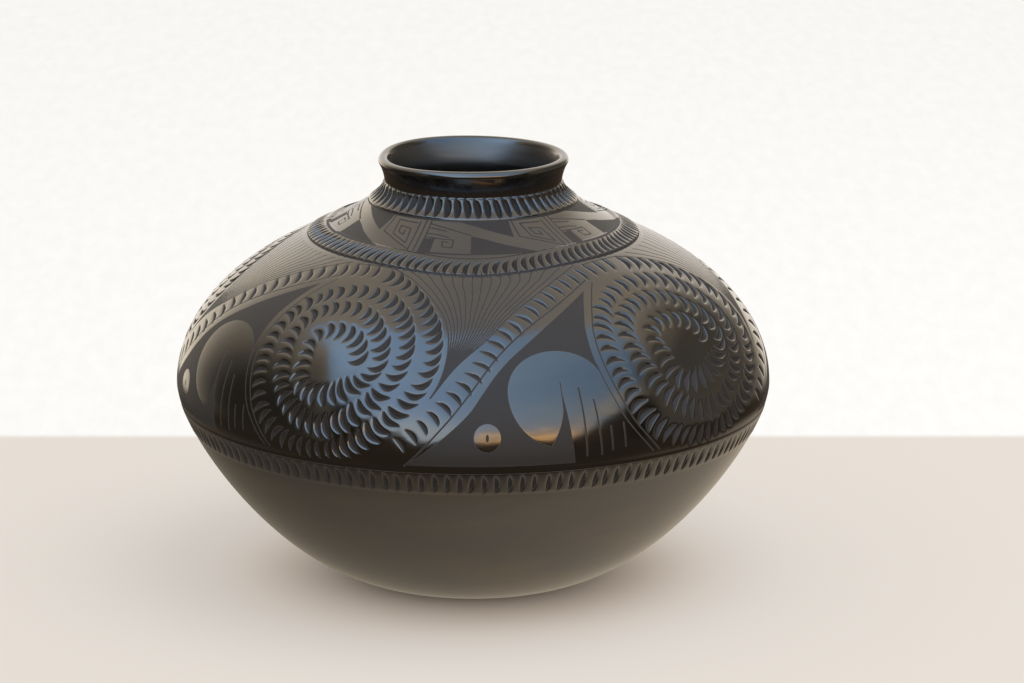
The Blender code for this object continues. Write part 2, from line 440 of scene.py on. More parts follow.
@dataclass
class Whorl:
    """Spiral of scales round a smooth boss, the last turn running off into a slanting band."""

    laying: Laying
    centre: tuple[float, float] = (-30.2, 185.6)
    boss_radius: float = 14.0
    boss_rise: float = 0.5
    arm_radii: tuple[float, ...] = (
        14.0, 15.0, 16.5, 18.5, 15.5, 19.5, 17.0, 18.0,
        25.0, 26.0, 31.0, 31.5, 28.5, 30.5, 32.5, 31.5,
        36.5, 39.0, 43.0, 41.0, 41.0, 46.5, 44.5, 44.5,
        51.0, 49.5, 56.5, 55.0)
    first_turn: float = 0.03
    last_turn: float = 3.24
    spacing: float = 5.7
    spread: float = 0.014
    crowded: float = 0.2
    outward: float = 28.0
    outward_heading: float = 0.25
    outward_fade: float = 0.3
    low_scales: float = -42.0
    low_size: float = 0.84
    seed: int = 7
    step_jitter: float = 0.05
    facing_jitter: float = 5.0
    size_jitter: float = 0.06
    edge_line: float = 0.36
    edge: Places = (
        (-42.5, 233.7), (-44.4, 228.2), (-46.2, 221.8), (-47.9, 214.1), (-49.5, 204.7),
        (-50.2, 194.4), (-50.1, 185.0), (-49.4, 175.4), (-48.2, 165.5), (-46.5, 155.6),
        (-44.1, 146.7), (-41.5, 138.6))
    top: Notch = Notch(11.2, 2.8, 4.4, 2.4, 0.10)
    left: Notch = Notch(10.8, 2.1, 3.9, 2.3, 0.0)
    bottom: Notch = Notch(12.6, 3.3, 3.1, 2.5, 0.10)
    right: Notch = Notch(12.2, 3.0, 4.6, 2.5, -0.20)

    def scale_at(self, angle: float) -> Notch:
        """Shape of a scale at an angle about the boss, mixed from the four quarters."""
        quarters = (self.right, self.top, self.left, self.bottom, self.right)
        quarter, share = divmod(angle % math.tau / (math.tau / 4), 1.0)
        smooth = float(smooth_rise(np.array(share), 0.0, 1.0))
        return quarters[int(quarter)].blend(quarters[int(quarter) + 1], smooth)

    def arm(self) -> tuple[np.ndarray, np.ndarray]:
        """Turns of the arm and its radii, smooth through the radii at each eighth."""
        eighths = [(index / 8, radius) for index, radius in enumerate(self.arm_radii)]
        turns, radii = curve_through(eighths, 40).T
        kept = (turns >= self.first_turn) & (turns <= self.last_turn)
        return turns[kept], radii[kept]

    def places(self, relief: Relief) -> list[tuple]:
        """Centre, facing and shape of each scale along the arm.

        The steps between scales grow a little with the radius, as the potter's do, and
        shrink below the boss. The lowest scales are smaller, and those on the right turn
        outwards.
        """
        generator = np.random.default_rng(self.seed)
        turns, radii = self.arm()
        x, y = radii * np.cos(math.tau * turns), radii * np.sin(math.tau * turns)
        below = np.clip(-np.sin(math.tau * turns[1:]), 0.0, None)
        spacing = (self.spacing + self.spread * radii[1:]) * (1.0 - self.crowded * below)
        steps = np.hypot(np.diff(x), np.diff(y)) / spacing
        run = np.concatenate([[0.0], np.cumsum(steps)])
        stops = np.arange(0.0, run[-1])
        stops += generator.normal(0.0, self.step_jitter, len(stops))
        made = []
        for stop in stops:
            right, up, turn = (float(np.interp(stop, run, column)) for column in (x, y, turns))
            heading = math.atan2(up, right)
            outward = self.outward * max(0.0, math.cos(heading - self.outward_heading))**2
            past = -self.outward_heading - heading
            if past > 0.0:
                outward *= max(0.0, 1.0 - past / self.outward_fade)
            wobble = generator.normal(0.0, self.facing_jitter)
            facing = math.degrees(heading) - 90.0 + outward + wobble
            shape = self.scale_at(math.tau * turn)
            size = 1.0 + generator.normal(0.0, self.size_jitter)
            if up < self.low_scales:
                size *= self.low_size
            shape = Notch(shape.length * size, shape.width * size, shape.bulge * size,
                          shape.depth, shape.lopsided)
            distance = self.centre[1] + up
            scale = relief.wall.scale(np.array([distance]))[0]
            made.append(((self.centre[0] + right / scale, distance), facing, shape))
        return made

    def carve(self, relief: Relief) -> None:
        """Carves every repeat of the whorl."""
        scales = self.places(relief)
        edge = curve_through(self.edge)
        for turns in self.laying.fronts(relief.turns):
            found = relief.patch(turns, self.centre, self.boss_radius + 4.0)
            if found is not None:
                spot, x, y = found
                dome = 1.0 - smooth_rise(np.hypot(x, y * 0.9), 1.0, self.boss_radius)
                relief.proud[spot] += self.boss_rise * dome
            for place, facing, shape in scales:
                relief.carve(turns, place, facing, shape)
            relief.line(turns, edge, self.edge_line)


@dataclass
class SlantingBand:
    """Notched band from a whorl's top, down past the fan, to the whorl at its left.

    Its notches turn slim near its end, between the two distances from it in slimming.
    """

    laying: Laying
    path: Places = (
        (49.0, 244.0), (42.3, 243.6), (36.9, 241.8), (28.4, 236.7), (22.0, 229.8),
        (16.0, 221.2), (11.4, 212.0), (6.6, 203.7), (2.9, 191.8), (0.2, 182.2),
        (-3.3, 172.4), (-7.2, 162.1), (-11.2, 153.1), (-15.5, 143.8))
    lower_line: Places = (
        (-12.9, 137.3), (-9.6, 145.7), (-5.2, 158.6), (-3.6, 163.6), (-0.7, 173.3),
        (2.0, 182.7), (4.9, 191.8), (8.7, 200.9), (13.8, 210.2), (20.6, 219.8),
        (28.3, 229.4), (34.7, 236.3))
    spacing: float = 7.0
    start: float = 1.0
    seed: int = 11
    facing_jitter: float = 3.5
    slimming: tuple[float, float] = (40.0, 12.0)
    line_half_width: float = 0.42
    full: Notch = Notch(11.6, 2.0, 2.6, 2.2, -0.15)
    slim: Notch = Notch(9.6, 1.7, 2.0, 1.6, 0.0)

    def carve(self, relief: Relief) -> None:
        """Cuts the notches square to the band, deep edge upwards, and its lower line."""
        generator = np.random.default_rng(self.seed)
        path = curve_through(self.path, 24)
        scale = relief.wall.scale(path[:, 1])
        steps = np.diff(path, axis=0)
        steps[:, 0] *= (scale[1:] + scale[:-1]) / 2
        run = np.concatenate([[0.0], np.cumsum(np.hypot(*steps.T))])
        heading = np.unwrap(np.arctan2(steps[:, 1], steps[:, 0]))
        stops = np.arange(self.start, run[-1], self.spacing)
        jitter = generator.normal(0.0, self.facing_jitter, len(stops))
        line = curve_through(self.lower_line)
        slim_from, slim_to = (run[-1] - left for left in self.slimming)
        for turns in self.laying.fronts(relief.turns):
            for stop, wobble in zip(stops, jitter):
                place = tuple(np.interp(stop, run, column) for column in path.T)
                facing = math.degrees(np.interp(stop, run[1:], heading)) + HALF_TURN + wobble
                slimness = float(smooth_rise(np.array(stop), slim_from, slim_to))
                relief.carve(turns, place, facing, self.full.blend(self.slim, slimness))
            relief.line(turns, line, self.line_half_width)


@dataclass
class Fan:
    """Fine lines fanning out of the notch between a whorl and the band beside it.

    The lines lie at equal shares between the fan's two edges at every height, so they
    merge into a matte wedge at its tip. Near the top they crowd towards the middle, by a
    sine of their share.
    """

    laying: Laying
    left: Places = (
        (-8.4, 170.4), (-6.8, 178.1), (-5.7, 188.2), (-5.4, 199.1), (-6.1, 210.2),
        (-8.2, 219.7), (-11.5, 228.7), (-15.3, 236.0), (-19.7, 242.0), (-26.8, 248.1))
    right: Places = (
        (-8.4, 170.4), (-3.5, 187.3), (2.6, 201.3), (9.5, 217.5), (17.0, 229.2),
        (24.2, 238.2), (31.8, 245.5), (36.1, 248.6))
    left_tail: Places = (
        (-23.0, 245.6), (-27.7, 247.9), (-35.1, 248.4), (-40.5, 247.5))
    spaces: int = 15
    crowding: float = 0.045
    crowded_from: float = 238.0
    crowded_to: float = 248.0
    window: tuple[float, float] = (-40.0, 50.0)
    half_width: float = 0.34

    def carve(self, relief: Relief) -> None:
        """Incises the fan's lines and its matte tip."""
        left, right = curve_through(self.left), curve_through(self.right)
        rows = np.flatnonzero((relief.rows > left[0, 1]) & (relief.rows < left[-1, 1]))
        tail = curve_through(self.left_tail)
        distance = relief.rows[rows]
        low = np.interp(distance, left[:, 1], left[:, 0])[:, None]
        high = np.interp(distance, right[:, 1], right[:, 0])[:, None]
        for turns in self.laying.fronts(relief.turns):
            relief.line(turns, tail, self.half_width)
            columns = np.flatnonzero((turns > self.window[0]) & (turns < self.window[1]))
            if not rows.size or not columns.size:
                continue
            scale = relief.scale[rows][:, None]
            turn = turns[columns][None, :]
            width = np.maximum(high - low, relief.THINNEST)
            share = (turn - low) / width
            crowded = smooth_rise(distance, self.crowded_from, self.crowded_to)[:, None]
            crowded *= self.crowding
            bare = share - crowded * np.sin(math.tau * share)
            nearest = np.clip(np.round(bare * self.spaces), 0, self.spaces) / self.spaces
            line_share = nearest + crowded * np.sin(math.tau * nearest)
            apart = off_line(turn, low + line_share * width, distance, scale)
            inside = self.half_width - np.abs(apart)
            relief.ground(np.ix_(rows, columns), inside)


@dataclass
class DiscPanel:
    """Matte ground between two whorls, with a polished disc, a small disc and a comb."""

    laying: Laying
    whorl_edge: Places
    strip: float = 3.9
    strip_line: float = 0.33
    comb_line: float = 0.45
    window: tuple[float, float] = (-20.0, 50.0)
    foot: float = 137.8
    edge: Places = (
        (-13.6, 136.1), (-12.3, 138.5), (-9.0, 144.8), (-5.3, 152.6), (-0.9, 163.6),
        (1.8, 173.3), (4.5, 182.7), (8.0, 191.8), (12.7, 200.9), (18.0, 210.2),
        (24.5, 219.9), (31.5, 229.0), (35.1, 233.2))
    disc: tuple[float, float] = (16.7, 171.5)
    disc_radius: float = 25.0
    lobe_reach: float = 3.0
    disc_squash: float = 1.09
    lobe_start: float = 0.7
    lobe_power: float = 2.2
    bar_slope: float = 0.0537
    bar_top: float = 7.5
    slit_top: float = 178.1
    slit_turn: float = 0.6
    slit_half_width: float = 0.3
    line_overrun: float = 8.0
    small_disc: tuple[float, float] = (2.6, 152.1)
    small_radius: float = 6.9
    small_squash: float = 1.06
    dot: tuple[float, float] = (0.75, 1.9)
    comb: tuple[Places, ...] = (
        ((20.8, 174.3), (21.5, 140.8)), ((23.5, 168.0), (24.5, 140.8)),
        ((26.4, 154.1), (26.7, 142.5)), ((29.1, 155.1), (29.4, 143.4)))

    def polished(self, turn: np.ndarray, distance: np.ndarray, scale: np.ndarray) -> np.ndarray:
        """Inside distance of the polished shapes that stand on the matte ground."""
        x = (turn - self.disc[0]) * scale
        y = distance - self.disc[1]
        disc = self.disc_radius - np.hypot(x, np.where(y > 0.0, y * self.disc_squash, y))
        below = np.clip(-y, 0.0, None)
        bend = self.lobe_reach * (below / self.disc_radius)**self.lobe_power
        lobe = np.where(below > 0.0, (self.lobe_start - bend) * scale - x, self.disc_radius)
        bar_edge = (self.lobe_start + below * self.bar_slope) * scale
        bar = np.minimum(x - bar_edge, self.bar_top - y)
        past_slit = np.clip(distance - self.slit_top, 0.0, None)
        slit = np.hypot(x - self.slit_turn * scale, past_slit) - self.slit_half_width
        big = np.minimum(np.minimum(disc, lobe), slit)
        near = (turn - self.small_disc[0]) * scale
        rise = distance - self.small_disc[1]
        dot = (np.hypot(near / self.dot[0], rise / self.dot[1]) - 1.0) * self.dot[0]
        small = np.minimum(self.small_radius - np.hypot(near * self.small_squash, rise), dot)
        return np.maximum(np.maximum(big, bar), small)

    def carve(self, relief: Relief) -> None:
        """Scrapes the ground and incises the comb."""
        edge = curve_through(self.edge)
        rows = np.flatnonzero((relief.rows > edge[0, 1]) & (relief.rows < edge[-1, 1]))
        far = curve_through([(self.laying.next_turn(turn), distance)
                             for turn, distance in self.whorl_edge])[::-1]
        scale = relief.wall.scale(far[:, 1])
        outer = far - np.stack([self.strip / scale, np.zeros(len(far))], axis=1)
        outer = outer[outer[:, 1] < self.slit_top + self.line_overrun]
        for turns in self.laying.fronts(relief.turns):
            for tooth in self.comb:
                relief.line(turns, np.array(tooth), self.comb_line)
            relief.line(turns, outer, self.strip_line)
            columns = np.flatnonzero((turns > self.window[0]) & (turns < self.window[1]))
            if not rows.size:
                continue
            turn = turns[columns][None, :]
            distance = relief.rows[rows][:, None]
            scale = relief.scale[rows][:, None]
            from_band, past_whorl = (
                off_line(turn, np.interp(distance, *path.T[::-1]), relief.rows[rows], scale)
                for path in (edge, far))
            from_whorl = -past_whorl - self.strip
            inside = np.minimum(np.minimum(from_band, from_whorl), distance - self.foot)
            inside = np.minimum(inside, -self.polished(turn, distance, scale))
            relief.ground(np.ix_(rows, columns), inside)


@dataclass
class NotchedRing:
    """Raised band round the jar with its row of notches."""

    start: float
    height: float
    rise: float
    count: int
    notch: Notch
    facing: float
    seed: int
    edge: float = 0.9
    phase: float = 0.37
    dip: float = 0.0
    dip_reach: float = 26.0
    lowered: float = 0.0
    groove: float = 0.0
    groove_depth: float = 0.4
    mean_dip: float = 0.42
    turn_jitter: float = 0.12
    facing_jitter: float = 2.5
    lift_jitter: float = 0.15

    def drop(self, turn: np.ndarray | float) -> np.ndarray | float:
        """How far the band sags at a turn: a bell of the turn, less a mean all round."""
        offset = (turn + HALF_TURN) % FULL_TURN - HALF_TURN
        return self.dip * (np.exp(-(offset / self.dip_reach)**2) - self.mean_dip)

    def carve(self, relief: Relief) -> None:
        """Raises the band and cuts its notches."""
        generator = np.random.default_rng(self.seed)
        rows = relief.rows[:, None] + self.drop(relief.turns)[None, :]
        low = smooth_rise(rows, self.start - self.edge, self.start)
        top = self.start + self.height
        relief.proud += self.rise * low * (1.0 - smooth_rise(rows, top, top + self.edge))
        if self.groove:
            inside = self.groove - np.abs(rows - self.start + self.groove)
            relief.ground((slice(None), slice(None)), inside, self.groove_depth)
        middle = self.start + self.height / 2 - self.lowered
        for index in range(self.count):
            turn = FULL_TURN * (index + self.phase) / self.count
            turn += generator.normal(0.0, self.turn_jitter)
            lean = self.facing + generator.normal(0.0, self.facing_jitter)
            offset = (relief.turns - 90.0 - turn + HALF_TURN) % FULL_TURN - HALF_TURN
            lift = generator.normal(0.0, self.lift_jitter) - float(self.drop(turn + 90.0))
            relief.carve(offset, (0.0, middle + lift), lean, self.notch)


@dataclass
class RingLine:
    """Line or groove all the way round the jar."""

    distance: float
    half_width: float
    depth: float

    def carve(self, relief: Relief) -> None:
        """Incises the line into every column of the rows that it crosses."""
        inside = self.half_width - np.abs(relief.rows[:, None] - self.distance)
        inside = np.broadcast_to(inside, relief.matte.shape)
        relief.matte = np.maximum(relief.matte, inside)
        scraped = -self.depth * smooth_rise(inside, -0.3, self.half_width)
        relief.cut = np.minimum(relief.cut, scraped)


@dataclass
class Frieze:
    """Collar of squared spirals, bars and slanting strips on a matte ground."""

    laying: Laying
    half_width: float = 0.42
    grounds: tuple[Places, ...] = (
        ((-7.5, 285.5), (0.5, 282.6), (10.4, 278.1), (17.1, 274.7), (18.8, 273.8),
         (19.2, 285.4)),
        ((-1.0, 275.7), (5.3, 273.5), (10.1, 270.8), (19.6, 265.8), (26.1, 261.9),
         (26.1, 261.5), (-1.1, 261.5)),
        ((-22.7, 272.9), (-17.3, 272.9), (-17.1, 263.0), (-1.1, 262.5), (-1.1, 261.2),
         (-22.5, 261.6)))
    lines: tuple[Places, ...] = (
        ((-29.8, 282.8), (-41.6, 283.3), (-39.0, 273.6), (-29.5, 268.0), (-31.6, 278.5),
         (-38.0, 279.6), (-36.7, 275.2), (-33.2, 273.6), (-33.9, 276.8)),
        ((-17.2, 273.3), (-8.7, 272.6), (-8.8, 266.7), (-12.9, 267.3), (-13.7, 271.3),
         (-10.8, 270.6)),
        ((-44.9, 274.1), (-38.3, 270.9), (-30.4, 266.1), (-26.9, 263.6), (-25.6, 261.1)),
        ((-45.8, 284.9), (-44.8, 274.1)),
        ((-28.4, 283.8), (-26.8, 264.0)), ((-25.4, 285.5), (-24.2, 262.3)),
        ((-22.5, 285.5), (-22.2, 272.9)), ((-22.0, 274.0), (-16.2, 273.3)),
        ((-22.0, 283.2), (-9.4, 279.6), (-1.0, 276.1)), ((-21.5, 280.5), (-12.9, 278.7)),
        ((-21.7, 276.4), (-16.2, 275.9), (-11.3, 274.4)))

    def carve(self, relief: Relief) -> None:
        """Scrapes the grounds and incises the lines of every repeat."""
        for turns in self.laying.fronts(relief.turns):
            for ground in self.grounds:
                corners = np.array(ground)
                middle = (corners.min(axis=0) + corners.max(axis=0)) / 2
                scale = np.interp(corners[:, 1], relief.rows, relief.scale)
                local = corners - middle
                local[:, 0] *= scale
                found = relief.patch(turns, tuple(middle), np.abs(local).max() + 2.0)
                if found is not None:
                    spot, x, y = found
                    relief.ground(spot, inside_polygon(x, y, local))
            for line in self.lines:
                relief.line(turns, np.array(line), self.half_width)


class Shell:
    """Closed mesh made of a grid whose rows run up the outside and down the inside.

    On its map the grid's faces fill the lower part, the two flat ends share a strip
    along the top, and the poles of a capped grid have a narrow strip each.
    """

    POLE_STRIP = 0.002
    END_SIZE = (0.48, 0.010)
    END_HEIGHT = 0.989
    SECOND_END = 0.52

    def __init__(self, name: str, places: np.ndarray, turned: bool, capped: bool) -> None:
        """Takes the grid.

        Args:
            name: the piece's name.
            places: rows by columns by (x, y, z), in millimetres.
            turned: whether the columns close into a ring.
            capped: whether the first and last rows are closed by poles, not joined.
        """
        self.name = name
        self.places = places
        self.turned = turned
        self.capped = capped
        self.loops: list[np.ndarray] = []
        self.lengths: list[np.ndarray] = []
        self.uvs: list[np.ndarray] = []
        self.smooth: list[np.ndarray] = []

    def add_faces(self, corners: np.ndarray, uvs: np.ndarray, smooth: bool) -> None:
        """Adds faces given as rows of vertex numbers, with a place in the map for each."""
        self.loops.append(corners.reshape(-1))
        self.lengths.append(np.full(len(corners), corners.shape[1]))
        self.uvs.append(uvs.reshape(-1, 2))
        self.smooth.append(np.full(len(corners), smooth))

    def quads(self, row_map: np.ndarray) -> None:
        """Adds the grid's own faces, each turning right and then on to the next row."""
        rows, columns = self.places.shape[:2]
        numbers = np.arange(rows * columns).reshape(rows, columns)
        if not self.capped:
            numbers = np.vstack([numbers, numbers[:1]])
        across = np.arange(numbers.shape[1]) / (columns if self.turned else columns - 1)
        if self.turned:
            numbers = np.hstack([numbers, numbers[:, :1]])
            across = np.append(across, 1.0)
        u, v = np.meshgrid(across, row_map)
        spots = np.stack([u, v], axis=-1)
        shifts = ((slice(None, -1), slice(None, -1)), (slice(None, -1), slice(1, None)),
                  (slice(1, None), slice(1, None)), (slice(1, None), slice(None, -1)))
        corners = np.stack([numbers[a, b] for a, b in shifts], axis=-1).reshape(-1, 4)
        uvs = np.stack([spots[a, b] for a, b in shifts], axis=2).reshape(-1, 4, 2)
        self.add_faces(corners, uvs, True)

    def ends(self) -> None:
        """Closes the grid's two flat ends, or its two poles."""
        rows, columns = self.places.shape[:2]
        count = rows * columns
        if self.capped:
            ring = np.arange(columns)
            after = np.roll(ring, -1)
            last = (rows - 1) * columns
            bottom = np.stack([np.full(columns, count), after, ring], axis=1)
            top = np.stack([np.full(columns, count + 1), last + ring, last + after], axis=1)
            share = ring / columns
            for faces, level in ((bottom, 0.0), (top, 1.0)):
                edge = np.stack([share, np.full(columns, abs(level - self.POLE_STRIP))], axis=1)
                tip = np.stack([share + 0.5 / columns, np.full(columns, level)], axis=1)
                self.add_faces(faces, np.stack([tip, edge, edge], axis=1), True)
            return
        if self.turned:
            return
        for column, shift in ((0, 0.0), (columns - 1, self.SECOND_END)):
            numbers = np.arange(rows) * columns + column
            plane = np.stack([np.hypot(*self.places[:, column, :2].T),
                              self.places[:, column, 2]], axis=1)
            plane = (plane - plane.min(axis=0)) / np.ptp(plane, axis=0)
            plane = plane * self.END_SIZE + (shift, self.END_HEIGHT)
            if column:
                numbers, plane = numbers[::-1], plane[::-1]
            self.add_faces(numbers[None, :], plane[None], False)

    def build(self, row_map: np.ndarray, matte: np.ndarray | None,
              normals: np.ndarray | None) -> bpy.types.Object:
        """Makes the mesh.

        Args:
            row_map: place of each row of faces up the piece's map.
            matte: matte distance of the first rows, or None where all is polished.
            normals: normals of the first rows, or None to leave them as the faces say.

        Returns:
            The piece, at the origin.
        """
        self.quads(row_map)
        self.ends()
        rows, columns = self.places.shape[:2]
        points = self.places.reshape(-1, 3)
        if self.capped:
            poles = [[0.0, 0.0, self.places[row, 0, 2]] for row in (0, -1)]
            points = np.vstack([points, poles])
        loops = np.concatenate(self.loops)
        lengths = np.concatenate(self.lengths)
        mesh = bpy.data.meshes.new(self.name)
        mesh.vertices.add(len(points))
        mesh.vertices.foreach_set("co", (points * MM).ravel())
        mesh.loops.add(len(loops))
        mesh.loops.foreach_set("vertex_index", loops.astype(np.int32))
        mesh.polygons.add(len(lengths))
        starts = np.concatenate([[0], np.cumsum(lengths)[:-1]])
        mesh.polygons.foreach_set("loop_start", starts.astype(np.int32))
        mesh.polygons.foreach_set("use_smooth", np.concatenate(self.smooth))
        mesh.update(calc_edges=True)
        layer = mesh.uv_layers.new(name="OFBake")
        layer.uv.foreach_set("vector", np.concatenate(self.uvs).ravel().astype(np.float32))
        values = np.full(len(points), UNTOUCHED if matte is None else INSIDE)
        if matte is not None:
            values[:matte.size] = matte.ravel()
        attribute = mesh.attributes.new("matte", "FLOAT", "POINT")
        attribute.data.foreach_set("value", values.astype(np.float32))
        if normals is not None:
            vectors = np.zeros((len(points), 3))
            vectors[:normals.size // 3] = normals.reshape(-1, 3)
            vectors = vectors[loops]
            outer_faces = (len(normals) - 1) * (columns if self.turned else columns - 1)
            vectors[4 * outer_faces:] = 0.0
            mesh.normals_split_custom_set(vectors)
        piece = bpy.data.objects.new(self.name, mesh)
        bpy.context.scene.collection.objects.link(piece)
        return piece


def revolve(profile: np.ndarray, columns: int) -> np.ndarray:
    """Turns a profile of (radius, height) rows into a grid of places round the jar."""
    angle = np.radians(np.arange(columns) * FULL_TURN / columns - HALF_TURN)
    radius, height = profile[:, :1], profile[:, 1:]
    return np.stack([radius * np.sin(angle), -radius * np.cos(angle),
                     np.broadcast_to(height, (len(profile), columns))], axis=-1)


def row_map_of(profile: np.ndarray, top: float) -> np.ndarray:
    """Share of the way along a profile's rows, from 0 to the top of their map."""
    run = np.concatenate([[0.0], np.cumsum(np.hypot(*np.diff(profile, axis=0).T))])
    return run / run[-1] * top


@dataclass
class Member:
    """One clay member of the wall: what all of them share."""

    wall: Wall
    node: str
    slot: Slot
    finish: Finish
    lap: float = 3.0

    def dress(self, piece: bpy.types.Object) -> bpy.types.Object:
        """Gives a piece its clay and ties it to the frame."""
        piece.data.materials.append(self.finish.material())
        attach(piece, "root")
        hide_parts(self.node)
        LOG.info("%s: %d faces", piece.name, len(piece.data.polygons))
        return piece

    def inner_rows(self, start: float, end: float, spacing: float) -> np.ndarray:
        """Profile of the inner side from start to end, as (radius, height) rows."""
        count = max(2, round(abs(end - start) / spacing) + 1)
        places = self.wall.at(np.linspace(start, end, count), self.wall.outline.thickness)
        return np.stack(places, axis=1)


@dataclass
class BaseBowl(Member):
    """Mould-pressed base with its flat foot and inner floor."""

    columns: int = 480
    foot_rows: int = 12
    outer_rows: int = 60
    inner_spacing: float = 2.0
    foot_hole: float = 4.0
    foot_edge: float = 1.0
    floor_hole: float = 3.0
    floor_edge: float = 2.0

    def build(self) -> list[bpy.types.Object]:
        """Turns the foot, the outer side and the inner side down to the floor."""
        outline = self.wall.outline
        foot_radii = np.linspace(self.foot_hole, outline.foot_radius - self.foot_edge,
                                 self.foot_rows)
        foot = np.stack([foot_radii, np.zeros(self.foot_rows)], axis=1)
        distances = np.linspace(0.0, self.wall.base_seam, self.outer_rows)
        outer = np.stack(self.wall.at(distances), axis=1)
        facing = np.vstack([np.tile((0.0, -1.0), (self.foot_rows, 1)),
                            self.wall.facing(distances)])
        inner = self.inner_rows(self.wall.base_seam + self.lap, self.wall.inner_floor(),
                                self.inner_spacing)
        floor_radii = np.linspace(inner[-1, 0] - self.floor_edge, self.floor_hole,
                                  self.foot_rows)
        floor = np.stack([floor_radii, np.full(self.foot_rows, inner[-1, 1])], axis=1)
        profile = np.vstack([foot, outer, inner, floor])
        shell = Shell("base_bowl_clay", revolve(profile, self.columns), True, True)
        row_map = Shell.POLE_STRIP + row_map_of(profile, 1.0 - 2 * Shell.POLE_STRIP)
        return [self.dress(shell.build(row_map, None, revolve(facing, self.columns)))]


@dataclass
class LowerWall(Member):
    """Plain burnished coil between the base and the notched border."""

    columns: int = 480
    outer_rows: int = 80
    inner_spacing: float = 4.0
    map_top: float = 0.98

    def build(self) -> list[bpy.types.Object]:
        """Turns the coil's outer and inner sides."""
        start, end = self.wall.base_seam, self.wall.lower_seam
        distances = np.linspace(start, end, self.outer_rows)
        outer = np.stack(self.wall.at(distances), axis=1)
        inner = self.inner_rows(end + self.lap, start + self.lap, self.inner_spacing)
        profile = np.vstack([outer, inner])
        shell = Shell("lower_wall_clay", revolve(profile, self.columns), True, False)
        row_map = row_map_of(np.vstack([profile, profile[:1]]), self.map_top)
        facing = revolve(self.wall.facing(distances), self.columns)
        return [self.dress(shell.build(row_map, None, facing))]


@dataclass
class CarvedCoil(Member):
    """Carved coil, cut into equal sectors so that each stays a modest mesh."""

    start: float = 0.0
    end: float = 0.0
    sectors: int = 4
    inner_spacing: float = 5.0
    outer_map_top: float = 0.88
    inner_map_start: float = 0.895
    inner_map_height: float = 0.08
    map_top: float = 0.985

    def build(self, relief: Relief) -> list[bpy.types.Object]:
        """Cuts the coil's sectors out of a relief that covers its rows.

        Args:
            relief: the carving, whose rows include both of the coil's seams.

        Returns:
            The sectors' pieces.
        """
        places, normals = relief.surface()
        matte = relief.matte_rows()
        kept = relief.rows[relief.MARGIN:len(relief.rows) - relief.MARGIN]
        low, high = (int(np.argmin(np.abs(kept - seam))) for seam in (self.start, self.end))
        inner = self.inner_rows(self.end + self.lap, self.start + self.lap,
                                self.inner_spacing)
        columns = len(relief.turns)
        back = revolve(inner, columns)
        outer_length = self.end - self.start
        outer_map = (kept[low:high + 1] - self.start) / outer_length * self.outer_map_top
        inner_map = self.inner_map_start + np.linspace(0.0, self.inner_map_height, len(inner))
        row_map = np.concatenate([outer_map, inner_map, [self.map_top]])
        pieces = []
        for index in range(self.sectors):
            first = index * columns // self.sectors
            picked = np.arange(first, first + columns // self.sectors + 1) % columns
            grid = np.vstack([places[low:high + 1, picked], back[:, picked]])
            shell = Shell(f"{self.node}_sector_{index + 1}", grid, False, False)
            piece = shell.build(row_map, matte[low:high + 1, picked],
                                normals[low:high + 1, picked])
            pieces.append(self.dress(piece))
        return pieces


@dataclass
class NeckAndLip(Member):
    """Last coil: notched band, plain flare and the rounded, slightly uneven lip."""

    lip_rows: int = 14
    inner_spacing: float = 0.9
    outer_map_top: float = 0.5
    inner_map: tuple[float, float] = (0.505, 0.97)
    map_top: float = 0.98
    wave: float = 0.35
    wave_drop: float = 1.7
    lean: float = 0.006

    def build(self, relief: Relief) -> list[bpy.types.Object]:
        """Joins the relief's rows to the lip's half circle and the inner side."""
        places, normals = relief.surface()
        columns = len(relief.turns)
        top = self.wall.top
        thickness = self.wall.outline.thickness
        outer_end, inner_end = (np.array(self.wall.at(top, depth)) for depth in (0.0, thickness))
        middle = (outer_end + inner_end) / 2
        spoke = outer_end - middle
        angle = np.linspace(0.0, math.pi, self.lip_rows + 1)[1:-1, None]
        square = np.array([-spoke[1], spoke[0]])
        lip = middle + np.cos(angle) * spoke + np.sin(angle) * square
        inner = self.inner_rows(top, self.wall.neck_seam + self.lap, self.inner_spacing)
        back = revolve(np.vstack([lip, inner]), columns)
        grid = np.vstack([places, back])
        grid = self.waved(grid, relief.turns)
        outer_map = np.linspace(0.0, self.outer_map_top, len(places))
        inner_map = np.linspace(*self.inner_map, len(back))
        row_map = np.concatenate([outer_map, inner_map, [self.map_top]])
        shell = Shell("neck_and_lip_clay", grid, True, False)
        smooth_lip = np.full((len(lip) + 2, columns), UNTOUCHED)
        matte = np.vstack([relief.matte_rows(), smooth_lip])
        return [self.dress(shell.build(row_map, matte, normals))]

    def waved(self, grid: np.ndarray, turns: np.ndarray) -> np.ndarray:
        """Lets the lip rise, fall and lean a little, fading out below the waist.

        The wave is a sum of two slow sines of the turn, lowered so that it stays under
        the plain lip, times the share of the way up from the waist to the lip.
        """
        angle = np.radians(turns)
        height = grid[..., 2]
        low = self.wall.at(self.wall.waist)[1]
        share = np.clip((height - low) / (height.max() - low), 0.0, 1.0)
        lift = self.wave * (np.sin(2 * angle + 0.6) + 0.7 * np.sin(3 * angle + 2.0)) * share
        lift -= self.wave * self.wave_drop * share
        lean = 1.0 + self.lean * share * (np.sin(2 * angle + 2.2) + 0.6 * np.sin(5 * angle))
        return np.stack([grid[..., 0] * lean, grid[..., 1] * lean, height + lift], axis=-1)


